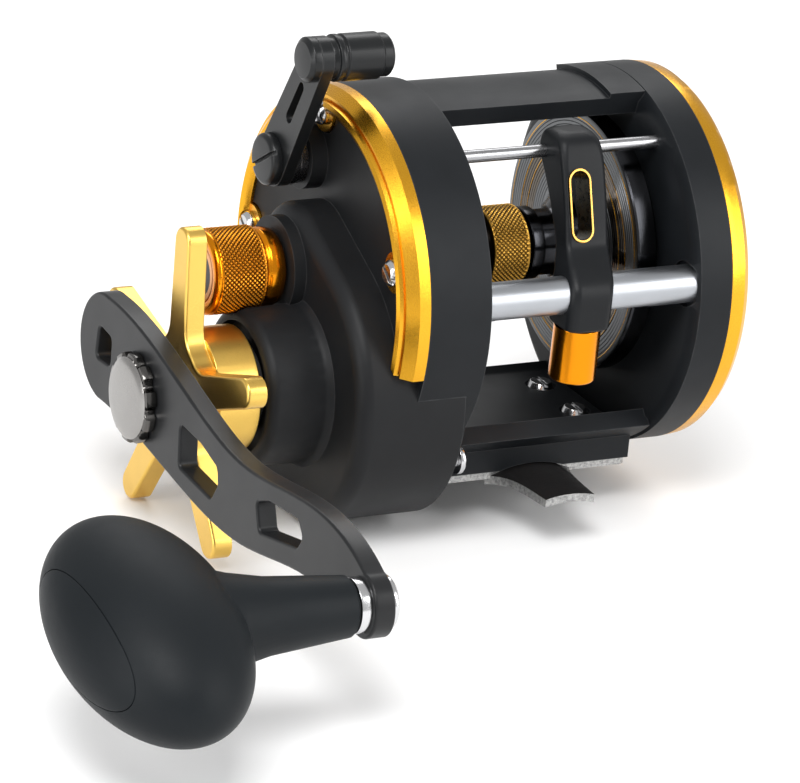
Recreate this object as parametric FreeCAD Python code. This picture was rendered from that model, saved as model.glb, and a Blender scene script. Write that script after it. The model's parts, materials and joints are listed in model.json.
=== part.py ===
"""Trolling reel with a level wind: star drag, lever free-spool clutch and one-piece frame.

Units are millimetres. X runs along the spool axis (the handle is on the -X side), -Y is the
front where the line leaves, +Z is up. The shapes are laid out about the centre of the frame
rings and moved at export so that the origin is the middle of the foot's seat on the rod.
"""
import FreeCAD, Part
import math
import os

V = FreeCAD.Vector
EX = V(1, 0, 0)

# ---- driving dimensions -------------------------------------------------------------
RING_R = 37.0            # outside radius of both frame rings
RING_BORE = 33.6         # bore of the rings round the side plates
HEAD_OUT, HEAD_IN = -37.1, -24.3     # head (handle side) ring
TAIL_IN, TAIL_OUT = 20.8, 27.6       # tail (palm side) ring
WEB_HOLE = 26.2          # hole the head flange of the spool turns in
BAR_R = 36.0             # outside radius of the top crossbar
FOOT_TOP, FOOT_SEAT = -35.0, -36.6   # upper and lower face of the foot plate
FOOT_X = -2.7            # middle of the foot along the spool axis

SPOOL = (0.6, 3.0)       # spool axis (y, z)
FLANGE_R = 25.65
SPOOL_IN, SPOOL_OUT = (-21.6, 13.4), (-25.9, 17.7)   # flange inner and outer faces
ARBOR_R = 6.4
SLEEVE_R = 7.96          # knurled arbor sleeve
SHAFT_R, SHAFT_HEAD_R = 2.0, 1.6

MODULE = 0.65
MAIN_TEETH, PINION_TEETH = 58, 10
CENTRES = MODULE * (MAIN_TEETH + PINION_TEETH) / 2.0
_D = (-8.9, -20.4)
CRANK = tuple(s + CENTRES * d / math.hypot(*_D) for s, d in zip(SPOOL, _D))

LW_MODULE = 0.5          # level-wind gear train
LW_CRANK, LW_IDLER, LW_WORM = 36, 42, 12
WORM = (-32.1, 5.1)      # worm axis
GUIDE = (-16.4, 28.3)    # guide bar axis
TUBE_R, TUBE_BORE = 3.65, 2.8
GUIDE_R = 1.25
CARRIAGE_X = -2.8        # middle of the line guide's column at rest
ARM_SHIFT = 2.5          # its arm stands this much nearer the tail

HOUSING_R = 27.0         # gear housing round the crank axis
HOUSING_FACE = -49.0
HOUSING_BACK = -27.0
BOSS_FACE = -61.4
KNOB_BOSS_R = 12.0
SCREW_CIRCLE = 30.6
CLICK = (0.6, -17.2)     # click button axis (y, z)
HEAD_SCREWS = ((30.6, 21.5), (32.0, 98.6), (30.6, 180.0))    # radius and degrees, as in polar()
SCREW_SEAT = -41.2       # face the head side screws bear on
TAIL_SCREWS = (40.0, 130.0, 220.0, 310.0)

STAR_TIP_R = 32.4
STAR_ARMS = (21.0, 93.0, 165.0, 237.0, 309.0)
STAR_X = (-74.6, -70.6)
ARM_X = (-81.8, -78.0)
EYE = (-100.6, -20.1)    # handle knob axis (y, z)
BRIDGE_POSTS = ((12.5, 4.5), (13.0, -24.3), (-9.5, 5.0))
LUG_SCREW = (-28.1, -27.9)
IDLER = (-20.9, -2.43)   # level-wind idler axis
DOG_PIVOT_ANGLE = -100.0
PAWL_DIR = (0.02, -1.0)             # (y, z) direction the level-wind pawl is held in
ARM_FACE_TILT = 18.6     # lean of the line guide's front face, degrees
KNOB_X = -122.3          # middle of the handle knob
KNOB_TILT = 16.9         # lean of the knob's long axis, degrees
BADGE_AT = (EYE[0] - 3.1, EYE[1] + 1.2)
LEVER_PIVOT = (8.4, 21.6)
LEVER_KNOB = (-4.8, 45.6)

SHIFT = V(-FOOT_X, 0, -FOOT_SEAT)
PARTS = {}


# ---- helpers --------------------------------------------------------------------------
def cyl(x0, x1, r, c=(0.0, 0.0)):
    """Solid cylinder along X from x0 to x1 about the axis c."""
    return Part.makeCylinder(r, abs(x1 - x0), V(min(x0, x1), c[0], c[1]), EX)


def tube(x0, x1, r, bore, c=(0.0, 0.0)):
    return cyl(x0, x1, r, c).cut(cyl(x0 - 0.1, x1 + 0.1, bore, c))


def revolve(points, c=(0.0, 0.0)):
    """Turned solid from (x, radius) points about the X axis through c."""
    wire = Part.makePolygon([V(x, c[0] + r, c[1]) for x, r in points + points[:1]])
    return Part.Face(wire).revolve(V(0, c[0], c[1]), EX, 360)


def prism(points, x0, x1):
    """Straight extrusion along X of a (y, z) outline."""
    wire = Part.makePolygon([V(x0, y, z) for y, z in points + points[:1]])
    return Part.Face(wire).extrude(V(x1 - x0, 0, 0))


def box(x0, x1, y0, y1, z0, z1):
    return Part.makeBox(x1 - x0, y1 - y0, z1 - z0, V(x0, y0, z0))


def polar(r, deg, c=(0.0, 0.0)):
    """(y, z) at radius r and deg measured from -Y towards +Z."""
    t = math.radians(deg)
    return (c[0] - r * math.cos(t), c[1] + r * math.sin(t))


def wedge(x0, x1, r, a0, a1):
    """Pie slice about the ring axis from angle a0 to a1."""
    n = max(2, int(abs(a1 - a0) / 25) + 1)
    rim = [polar(2 * r, a0 + (a1 - a0) * k / n) for k in range(n + 1)]
    return prism([(0.0, 0.0)] + rim, x0, x1)


def sector(x0, x1, r, bore, a0, a1):
    return tube(x0, x1, r, bore).common(wedge(x0 - 1, x1 + 1, r, a0, a1))


def link(x0, x1, c0, r0, c1, r1):
    """Plate with the outline of a belt round two circles."""
    dy, dz = c1[0] - c0[0], c1[1] - c0[1]
    d = math.hypot(dy, dz)
    base = math.atan2(dz, dy)
    spread = math.acos((r0 - r1) / d)
    quad = []
    for c, r, side in ((c0, r0, 1), (c1, r1, 1), (c1, r1, -1), (c0, r0, -1)):
        t = base + side * spread
        quad.append((c[0] + r * math.cos(t), c[1] + r * math.sin(t)))
    return fuse(cyl(x0, x1, r0, c0), cyl(x0, x1, r1, c1), prism(quad, x0, x1))


def fuse(first, *rest):
    return first.multiFuse(list(rest)).removeSplitter()


def cut(body, *tools):
    return body.cut(list(tools))


def group(*solids):
    return Part.makeCompound(list(solids))


def gear(x0, x1, teeth, module, c, phase, bore, play=0.15):
    """Spur gear with straight-flank teeth thinned by the running play."""
    pitch = teeth * module / 2.0
    tip, root = pitch + 0.9 * module, pitch - 1.25 * module
    step = 360.0 / teeth
    half = (math.pi * module / 2.0 - play) / 2.0
    half_tip = math.degrees((half - 0.9 * module * math.tan(math.radians(20))) / tip)
    half_root = math.degrees((half + 1.1 * module * math.tan(math.radians(20))) / root)
    outline = []
    for k in range(teeth):
        mid = phase + k * step
        for r, a in ((root, -half_root), (tip, -half_tip), (tip, half_tip), (root, half_root)):
            outline.append(polar(r, mid + a, c))
    return cut(prism(outline, x0, x1), cyl(x0 - 1, x1 + 1, bore, c))


def heading(a, b):
    """Angle of the line from centre a to centre b, measured as in polar()."""
    return math.degrees(math.atan2(b[1] - a[1], a[0] - b[0]))


def mesh_phase(a, teeth_a, phase_a, b, teeth_b):
    """Phase that lets gear b mesh with gear a."""
    line = heading(a, b)
    step = 360.0 / teeth_a
    off = (phase_a - line + step / 2.0) % step - step / 2.0
    return line + 180.0 - off * teeth_a / teeth_b + 180.0 / teeth_b


def rounded(shape, radius, pick):
    """Fillet the edges that pick(edge) chooses, or leave the shape as it was."""
    edges = [e for e in shape.Edges if pick(e)]
    try:
        out = shape.makeFillet(radius, edges)
        return out if out.isValid() and out.Volume > 0 else shape
    except Exception:
        return shape


def add(name, shape):
    PARTS[name] = shape


def pan_screw(tip, under, head_r, head_h, shank_r, c, outward=-1):
    """Slotted pan-head screw along X, its head from under towards outward."""
    top = under + outward * head_h
    mid = under + outward * head_h * 0.55
    head = revolve([(under, 0), (under, head_r), (mid, head_r), (top, head_r * 0.72), (top, 0)], c)
    x0, x1 = sorted((mid, top + outward * 0.2))
    slot = box(x0, x1, c[0] - head_r - 1, c[0] + head_r + 1, c[1] - 0.4, c[1] + 0.4)
    slot.rotate(V(top, c[0], c[1]), EX, 35)
    return cut(fuse(head, cyl(tip, under, shank_r, c)), slot)


def strip(x0, x1, spine):
    """Plate with smooth edges round a spine of ((y, z), half width) points and round ends."""
    points = [V(0, *c) for c, r in spine]
    last = len(points) - 1
    upper, lower = [], []
    for k, (c, r) in enumerate(spine):
        along = (points[min(k + 1, last)] - points[max(k - 1, 0)]).normalize() * r
        across = EX.cross(along)
        upper.append(points[k] + across)
        lower.append(points[k] - across)
        if k == 0:
            start = points[0] - along
    finish = points[-1] + along
    sides = [Part.BSplineCurve(), Part.BSplineCurve()]
    for curve, edge in zip(sides, (upper, lower)):
        curve.interpolate(edge)
    caps = [Part.Arc(lower[0], start, upper[0]), Part.Arc(upper[-1], finish, lower[-1])]
    edges = [e.toShape() for e in sides + caps]
    wire = Part.Wire(Part.sortEdges(edges)[0])
    wire.translate(V(x0, 0, 0))
    return Part.Face(wire).extrude(V(x1 - x0, 0, 0))


def head_screw_places():
    return [polar(r, a) for r, a in HEAD_SCREWS]


# ---- shared outlines --------------------------------------------------------------------
def housing_outline(x0, x1, grow=0.0, knob_grow=0.0):
    return link(x0, x1, CRANK, HOUSING_R + grow, SPOOL, KNOB_BOSS_R + knob_grow)


# ---- frame and foot ---------------------------------------------------------------------
def is_window_corner(edge):
    """True where the underside and ends of the top crossbar meet the head ring's inner face."""
    mid = edge.CenterOfMass
    on_ring = edge.BoundBox.XLength < 0.01 and abs(mid.x - HEAD_IN) < 0.01
    return on_ring and mid.z > 30.0 and math.hypot(mid.y, mid.z) < 34.6


def build_frame():
    head = cut(cyl(HEAD_OUT, HEAD_IN, RING_R), cyl(HEAD_OUT - 1, -29.0, RING_BORE))
    tail = revolve([(19.6, 10.0), (19.6, 34.6), (TAIL_IN, RING_R), (TAIL_OUT, RING_R),
                    (TAIL_OUT, RING_BORE), (23.4, RING_BORE), (23.4, 10.0)])
    top = sector(HEAD_IN - 1, 13.0, BAR_R, 32.2, 76, 110)
    step = sector(13.0, 20.5, RING_R, 32.2, 76, 110)
    shelf = sector(HEAD_IN - 1, 20.0, RING_R - 0.4, 33.0, -119, -47)
    block = box(HEAD_IN - 1, 18.6, -20.5, 15.0, -35.0, -30.0)
    block = block.common(cyl(HEAD_IN - 2, 19.0, 60.0)).cut(cyl(-60, 30, 29.0, SPOOL))
    bosses = [cyl(-36.5, -28.0, 3.1, p) for p in head_screw_places()]
    bosses += [cyl(23.0, 27.4, 3.1, polar(SCREW_CIRCLE, a)) for a in TAIL_SCREWS]
    lug = link(HOUSING_BACK, HEAD_IN, CRANK, 23.0, (0.0, -12.0), 20.0)
    body = fuse(head, tail, top, step, shelf, block, lug, *bosses)
    body = rounded(body, 1.4, is_window_corner)
    holes = [cyl(-60, HEAD_IN + 5, WEB_HOLE, SPOOL), cyl(15, 30, 22.4, SPOOL),
             housing_outline(HEAD_OUT - 1, HOUSING_BACK, 0.02, 0.02),
             cyl(-30, 22.2, TUBE_R + 0.02, WORM), cyl(-28, 22.2, GUIDE_R + 0.02, GUIDE),
             cyl(-45, -28.9, 4.0, WORM), cyl(15, 20.4, TUBE_R + 0.8, WORM),
             box(-24.2, 18.7, -20.1, 20.1, -60, FOOT_TOP),
             Part.makeCylinder(21.9, 8, V(FOOT_X, -26, FOOT_SEAT - 19.2), V(0, 1, 0))]
    holes += [cyl(-40, -27, 1.12, p) for p in head_screw_places()]
    holes += [cyl(22, 30, 1.12, polar(SCREW_CIRCLE, a)) for a in TAIL_SCREWS]
    for x in (-19.1, 13.7):
        for y in (-7.0, 7.0):
            holes.append(Part.makeCylinder(1.55, 12, V(x, y, -38)))
            holes.append(Part.makeCylinder(3.1, 4, V(x, y, -30.6)))
    holes.append(cyl(-30, -20, 1.55, LUG_SCREW))
    add("frame", cut(body, *holes))


def tongue(side):
    """Tapered blank of a foot tongue on the front (-1) or back (1), with flared flanks."""
    flank = [(9.4, 19.0), (7.3, 22.6), (5.9, 28.5), (5.3, 36.0)]
    edges = []
    for hand in (-1, 1):
        curve = Part.BSplineCurve()
        curve.interpolate([V(FOOT_X + hand * x, side * y, -45) for x, y in flank])
        edges.append(curve.toShape())
    for x, y in (flank[0], flank[-1]):
        edges.append(Part.makeLine(V(FOOT_X - x, side * y, -45), V(FOOT_X + x, side * y, -45)))
    wire = Part.Wire(Part.sortEdges(edges)[0])
    return Part.Face(wire).extrude(V(0, 0, 20))


def build_foot():
    plate = box(FOOT_X - 21.3, FOOT_X + 21.3, -20.0, 20.0, FOOT_SEAT, FOOT_TOP)
    plate = rounded(plate, 1.6, lambda e: e.BoundBox.ZLength > 1 and e.BoundBox.XLength < 0.01)
    arch = tube(-40, 40, 21.6, 20.0)
    arch.rotate(V(0, 0, 0), V(0, 0, 1), 90)
    arch.translate(V(FOOT_X, 0, FOOT_SEAT - 19.2))
    tongues = [tongue(side).common(arch) for side in (-1, 1)]
    foot = fuse(plate, *tongues)
    holes = [Part.makeCylinder(1.52, 12, V(x, y, -42)) for x in (-19.1, 13.7) for y in (-7.0, 7.0)]
    seat = box(-60, 60, -18.0, 18.0, -60, FOOT_SEAT)
    add("foot", cut(foot, seat, *holes))
    screws = []
    for x in (-19.1, 13.7):
        for y in (-7.0, 7.0):
            head = Part.makeCone(2.9, 2.1, 1.5, V(x, y, -30.58))
            shank = Part.makeCylinder(1.5, 5.9, V(x, y, -36.4))
            slot = box(x - 0.4, x + 0.4, y - 4, y + 4, -29.7, -28)
            screws.append(cut(fuse(head, shank), slot))
    add("foot_screws", group(*screws))


# ---- head side --------------------------------------------------------------------------
def build_head_side():
    places = head_screw_places()
    ring = revolve([(-37.12, 36.98), (-39.4, 37.0), (-41.5, 35.5), (-41.5, 35.0), (-41.1, 34.85),
                    (-41.1, 34.6), (-42.2, 34.3), (-42.6, 33.6), (-42.2, 32.7), (-41.2, 31.9),
                    (-40.62, 31.9), (-40.62, 33.2), (-37.12, 33.2)])
    lobes = [cyl(SCREW_SEAT, -38.0, 3.9, p) for p in places]
    ring = fuse(ring, *lobes).common(wedge(-45, -35, 40, -12, 214))
    holes = [cyl(-45, -30, 1.3, p) for p in places] + [cyl(-45, SCREW_SEAT, 2.8, p) for p in places]
    add("head_trim_ring", cut(ring, housing_outline(-60, -20, 0.3, 0.3), *holes))

    disc = cyl(-40.6, -36.52, 33.1)
    shell = housing_outline(HOUSING_FACE, HOUSING_BACK)
    shell = rounded(shell, 3.0, lambda e: abs(e.CenterOfMass.x - HOUSING_FACE) < 0.01)
    boss = revolve([(-48.5, 0), (-48.5, 17.0), (HOUSING_FACE, 16.4), (-49.6, 15.8), (-50.6, 15.4),
                    (-59.6, 15.1), (-60.6, 14.7), (-61.2, 14.0), (BOSS_FACE, 13.2), (BOSS_FACE, 0)],
                   CRANK)
    collar = cyl(-51.5, -48.5, 9.6, SPOOL)
    lever_seat = cyl(-44.0, -40.0, 6.2, LEVER_PIVOT)
    body = fuse(disc, shell, boss, collar, lever_seat)
    cavity = link(-46.6, -26.0, CRANK, HOUSING_R - 2.6, SPOOL, KNOB_BOSS_R - 2.4)
    skirt = cyl(-36.52, -20, RING_BORE)
    pockets = [cyl(-41, -37.9, 4.2, p) for p in places]
    pockets += [cyl(-50, -30, 1.3, p) for p in places]
    recess = cyl(BOSS_FACE - 1, -58.6, 12.7, CRANK)
    bores = [cyl(-62, -40, 5.02, CRANK), cyl(-51.32, -40, 5.02, SPOOL), cyl(-60, -40, 2.0, SPOOL),
             cyl(-60, -30, 2.05, LEVER_PIVOT)]
    knob_relief = cyl(-64, -51.52, 8.6, SPOOL)
    body = cut(body, cavity, skirt, recess, knob_relief, *(pockets + bores))
    back = link(HOUSING_BACK - 2.0, HOUSING_BACK, CRANK, HOUSING_R - 1.0, SPOOL, KNOB_BOSS_R - 1)
    body = fuse(body, back.cut(cyl(-40, -20, RING_BORE)))
    posts = [cyl(x, -34.62, 2.4, p) for x, p in zip((-40.0, -47.0, -47.0), BRIDGE_POSTS)]
    body = fuse(body, *posts)
    threads = [cyl(-45, -30, 1.02, p) for p in BRIDGE_POSTS]
    add("head_side_plate", cut(body, cyl(-30, -20, 1.52, LUG_SCREW), *threads))
    add("head_plate_screws", group(*[pan_screw(-30.0, SCREW_SEAT, 2.5, 1.7, 1.1, p) for p in places]))
    add("housing_screw", pan_screw(-28.9, HEAD_IN, 2.9, 1.7, 1.5, LUG_SCREW, 1))


def build_bridge():
    plate = fuse(link(-34.6, -33.0, CRANK, 11.0, SPOOL, 8.0),
                 *[link(-34.6, -33.0, p, 3.2, CRANK, 6.0) for p in BRIDGE_POSTS],
                 link(-34.6, -33.0, IDLER, 3.0, CRANK, 6.0),
                 link(-34.6, -33.0, polar(14.0, DOG_PIVOT_ANGLE, CRANK), 3.0, CRANK, 6.0))
    dog_pin = cyl(-37.3, -34.5, 1.2, polar(14.0, DOG_PIVOT_ANGLE, CRANK))
    idler_post = fuse(cyl(-33.1, -30.4, 1.5, IDLER), cyl(-30.5, -29.8, 2.6, IDLER))
    plate = fuse(plate, dog_pin, idler_post)
    holes = [cyl(-36, -30, 1.12, p) for p in BRIDGE_POSTS]
    holes += [cyl(-36, -30, 4.62, CRANK), cyl(-36, -30, 2.6, SPOOL)]
    add("bridge_plate", cut(plate, *holes))
    add("bridge_screws", group(*[pan_screw(-40.0, -33.0, 2.0, 1.1, 1.0, p, 1) for p in BRIDGE_POSTS]))
    add("crank_bearings", group(tube(-34.6, -33.0, 4.6, 3.55, CRANK),
                                tube(-58.4, -54.4, 5.0, 3.55, CRANK)))


# ---- tail side --------------------------------------------------------------------------
def build_tail_side():
    ring = revolve([(27.62, 37.0), (30.6, 36.7), (32.0, 35.6), (32.0, 34.2), (31.2, 33.4),
                    (27.62, 33.4)])
    add("tail_trim_ring", ring)
    plate = revolve([(27.62, 33.2), (30.0, 33.2), (31.0, 31.6), (31.4, 20.0), (31.4, 10.5),
                     (30.2, 10.5), (30.2, 0), (27.62, 0)])
    inner = tube(23.6, 27.7, 22.0, 19.6, SPOOL)
    hub = cyl(22.6, 27.7, 8.0, SPOOL)
    body = fuse(plate, inner, hub)
    holes = [cyl(20, 27.0, 6.02, SPOOL), cyl(20, 29.4, 2.6, SPOOL)]
    holes += [cyl(22, 40, 1.3, polar(SCREW_CIRCLE, a)) for a in TAIL_SCREWS]
    holes += [cyl(29.4, 40, 2.9, polar(SCREW_CIRCLE, a)) for a in TAIL_SCREWS]
    y, z = CLICK
    holes.append(box(20, 33, y - 1.75, y + 1.75, z - 1.9, z + 5.9))
    add("tail_side_plate", cut(body, *holes))
    places = [polar(SCREW_CIRCLE, a) for a in TAIL_SCREWS]
    add("tail_plate_screws", group(*[pan_screw(24.0, 29.4, 2.7, 1.6, 1.1, p, 1) for p in places]))
    add("tail_cap", revolve([(30.22, 0), (30.22, 10.4), (31.6, 10.4), (32.6, 9.0), (32.9, 0)]))

    dish = cyl(34.3, 38.0, 1.9, CLICK)
    thumb = revolve([(32.0, 0), (32.0, 3.0), (34.0, 3.0), (34.6, 2.5), (34.6, 0)], CLICK)
    add("click_button", cut(fuse(thumb, cyl(22.2, 32.0, 1.45, CLICK)), dish))
    point = prism([(y - 1.2, z), (y - 0.35, z + 8.7), (y + 0.35, z + 8.7), (y + 1.2, z)], 21.1, 22.2)
    add("click_tongue", fuse(cyl(21.1, 22.2, 1.9, CLICK), point))


# ---- spool ------------------------------------------------------------------------------
def build_spool():
    a, b = SPOOL_IN
    oa, ob = SPOOL_OUT
    profile = [(oa, 2.05), (oa, 8.0), (oa + 1.4, 22.6), (oa, 23.4), (oa, FLANGE_R), (a - 0.5, FLANGE_R),
               (a, FLANGE_R - 0.6), (a, 12.0), (a + 3.2, 8.6), (a + 6.0, ARBOR_R), (b - 6.0, ARBOR_R),
               (b - 3.2, 8.6), (b, 12.0), (b, FLANGE_R - 0.6), (b + 0.5, FLANGE_R), (ob, FLANGE_R),
               (ob, 23.4), (ob - 1.4, 22.6), (ob, 8.0), (21.0, 7.2), (21.0, 2.05)]
    body = revolve(profile, SPOOL)
    grooves = [tube(b - 0.3, b + 0.3, r + 0.25, r - 0.25, SPOOL) for r in (15.0, 18.5)]
    grooves += [tube(a - 0.3, a + 0.3, r + 0.25, r - 0.25, SPOOL) for r in (15.0, 18.5)]
    collars = []
    for x in (-11.6, 1.2):
        flats = [polar(7.3, 60 * k, SPOOL) for k in range(6)]
        collars.append(prism(flats, x, x + 2.4))
    bore = cyl(-30, 25, SHAFT_R, SPOOL)
    add("spool", cut(fuse(body, *collars), bore, *grooves))
    add("spool_sleeve", tube(-7.9, 0.2, SLEEVE_R, ARBOR_R, SPOOL))
    shaft = fuse(cyl(-31.0, 27.0, SHAFT_R, SPOOL), cyl(-60.0, -31.0, SHAFT_HEAD_R, SPOOL))
    add("spool_shaft", shaft)
    add("spool_bearings", group(tube(-51.3, -48.6, 5.0, SHAFT_HEAD_R + 0.03, SPOOL),
                                tube(23.0, 26.98, 6.0, SHAFT_R + 0.03, SPOOL)))
    wheel = []
    for k in range(20):
        for r, t in ((6.2, -5), (7.4, -2), (7.4, 2), (6.2, 5)):
            wheel.append(polar(r, 18 * k + t, SPOOL))
    add("click_gear", cut(prism(wheel, 21.02, 22.3), cyl(20, 24, SHAFT_R, SPOOL)))


# ---- gear train -------------------------------------------------------------------------
def build_gears():
    bore = SHAFT_HEAD_R + 0.04
    line = heading(CRANK, SPOOL)
    main = gear(-42.0, -37.6, MAIN_TEETH, MODULE, CRANK, line, 3.5)
    add("main_gear", main)
    phase = mesh_phase(CRANK, MAIN_TEETH, line, SPOOL, PINION_TEETH)
    teeth = gear(-46.0, -36.6, PINION_TEETH, MODULE, SPOOL, phase, bore)
    neck = [tube(-36.7, -35.2, 2.3, bore, SPOOL), tube(-35.25, -34.95, 3.4, bore, SPOOL)]
    add("pinion", fuse(teeth, *neck))

    ears = [(SPOOL[0] + side * 5.2, 4.6) for side in (-1, 1)]
    yoke = link(-36.1, -35.3, ears[0], 2.2, ears[1], 2.2)
    slot = fuse(cyl(-37, -34, 2.36, SPOOL),
                box(-37, -34, SPOOL[0] - 2.36, SPOOL[0] + 2.36, -4, SPOOL[1]))
    add("pinion_yoke", cut(yoke, slot))
    springs = []
    for y, z in ears:
        coil = Part.makeHelix(1.5, 7.6, 1.1)
        ring = Part.Wire(Part.makeCircle(0.22, V(1.1, 0, 0), V(0, 1, 0)))
        spring = Part.Wire(coil).makePipeShell([ring], True, False)
        spring.rotate(V(0, 0, 0), V(0, 1, 0), -90)
        spring.translate(V(-36.6, y, z))
        springs.append(spring)
    add("yoke_springs", group(*springs))

    sleeve = fuse(cyl(-82.6, -30.5, 3.5, CRANK), cyl(-37.5, -36.9, 6.2, CRANK))
    add("gear_sleeve", sleeve)
    add("arm_spacer", tube(-77.98, -74.95, 5.4, 3.55, CRANK))
    add("drag_washers", group(tube(-42.7, -42.05, 12.0, 3.6, CRANK),
                              tube(-43.9, -43.25, 12.0, 3.6, CRANK)))
    add("drag_plates", group(tube(-43.2, -42.75, 11.6, 3.55, CRANK),
                             tube(-44.6, -43.95, 11.6, 3.55, CRANK)))
    wheel = []
    for k in range(16):
        wheel += [polar(6.0, 22.5 * k, CRANK), polar(8.4, 22.5 * k + 3.0, CRANK)]
    add("ratchet", cut(prism(wheel, -36.8, -35.4), cyl(-38, -34, 3.5, CRANK)))
    pivot = polar(14.0, DOG_PIVOT_ANGLE, CRANK)
    dog = link(-36.8, -35.4, pivot, 2.4, polar(9.6, DOG_PIVOT_ANGLE + 26.0, CRANK), 0.7)
    add("anti_reverse_dog", cut(dog, cyl(-38, -34, 1.26, pivot)))

    line = heading(CRANK, IDLER)
    add("lw_crank_gear", gear(-32.6, -30.8, LW_CRANK, LW_MODULE, CRANK, line, 3.5))
    phase = mesh_phase(CRANK, LW_CRANK, line, IDLER, LW_IDLER)
    add("lw_idler_gear", gear(-32.6, -30.8, LW_IDLER, LW_MODULE, IDLER, phase, 1.56))
    phase = mesh_phase(IDLER, LW_IDLER, phase, WORM, LW_WORM)
    add("lw_worm_gear", gear(-32.6, -30.8, LW_WORM, LW_MODULE, WORM, phase, 1.5))


# ---- level wind -------------------------------------------------------------------------
def along_pawl(s0, s1, r):
    """Cylinder along the pawl axis between distances s0 and s1 from the worm axis."""
    start = V(CARRIAGE_X, WORM[0] + PAWL_DIR[0] * s0, WORM[1] + PAWL_DIR[1] * s0)
    return Part.makeCylinder(r, s1 - s0, start, V(0, PAWL_DIR[0], PAWL_DIR[1]))


def line_slot(width, height, depth0, depth1):
    """Round-ended slot through the line guide, square to its front face."""
    half = (height - width) / 2.0
    slot = box(-width / 2, width / 2, depth0, depth1, -half, half)
    for end in (-half, half):
        slot = slot.fuse(Part.makeCylinder(width / 2, depth1 - depth0, V(0, depth0, end), V(0, 1, 0)))
    slot = slot.removeSplitter()
    slot.rotate(V(0, 0, 0), EX, -ARM_FACE_TILT)
    slot.translate(V(CARRIAGE_X + ARM_SHIFT - 1.5, -26.8, 20.66))
    return slot


def build_level_wind():
    shield = tube(-26.4, 21.8, TUBE_R, TUBE_BORE, WORM)
    start = V(-21.9, WORM[0] - 2.1, WORM[1] - 6.0)
    slot = Part.makeBox(33.4, 4.2, 6.0, start)
    slot.rotate(V(0, *WORM), EX, math.degrees(math.atan2(PAWL_DIR[0], -PAWL_DIR[1])))
    add("worm_shield", cut(shield, slot))
    worm = fuse(cyl(-32.8, 21.7, 1.5, WORM), cyl(-25.6, 19.4, 2.4, WORM))
    add("worm_shaft", worm)
    add("worm_bushings", group(tube(-28.9, -26.45, 3.6, 1.54, WORM),
                               tube(19.8, 21.7, TUBE_BORE - 0.02, 1.54, WORM)))
    add("guide_bar", cyl(-27.9, 22.1, GUIDE_R, GUIDE))

    side = [(-37.1, -1.1), (-37.1, 7.4), (-36.2, 9.6), (-33.0, 13.4), (-27.3, 13.4), (-27.3, -1.1)]
    column = prism(side, CARRIAGE_X - 4.6, CARRIAGE_X + 4.6)
    column = rounded(column, 1.3, lambda e: abs(e.CenterOfMass.x - CARRIAGE_X) > 4.5)
    middle = CARRIAGE_X + ARM_SHIFT
    outline = [(-36.4, 7.0), (-32.2, 9.6), (-30.1, 10.9), (-27.0, 20.0), (-23.9, 29.2),
               (-21.0, 32.3), (-16.8, 32.8), (-13.9, 30.6), (-13.8, 27.4), (-17.4, 23.4),
               (-19.6, 20.0), (-23.0, 15.0), (-25.7, 8.0), (-27.3, 3.0), (-32.0, 1.0)]
    arm = prism(outline, middle - 4.6, middle + 4.6)
    arm = rounded(arm, 1.1, lambda e: abs(e.CenterOfMass.x - middle) > 4.5 and e.CenterOfMass.z > 12)
    body = fuse(column, arm)
    holes = [cyl(-20, 20, TUBE_R + 0.08, WORM), cyl(-20, 20, GUIDE_R + 0.08, GUIDE),
             along_pawl(2.0, 8.0, 2.45), line_slot(4.82, 14.02, -3.0, 12.0)]
    add("carriage", cut(body, *holes))
    add("line_eyelet", cut(line_slot(4.8, 14.0, -0.4, 5.0), line_slot(3.9, 13.1, -2.0, 12.0)))
    add("level_wind_pawl", fuse(along_pawl(2.5, 4.0, 1.9), along_pawl(3.9, 9.0, 1.2)))
    cap = along_pawl(6.35, 17.1, 4.5)
    cap = rounded(cap, 0.7, lambda e: e.CenterOfMass.z < WORM[1] - 12)
    cap = fuse(cap, along_pawl(4.2, 6.4, 2.4))
    add("pawl_cap", cut(cap, along_pawl(3.0, 9.8, 1.28)))


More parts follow.
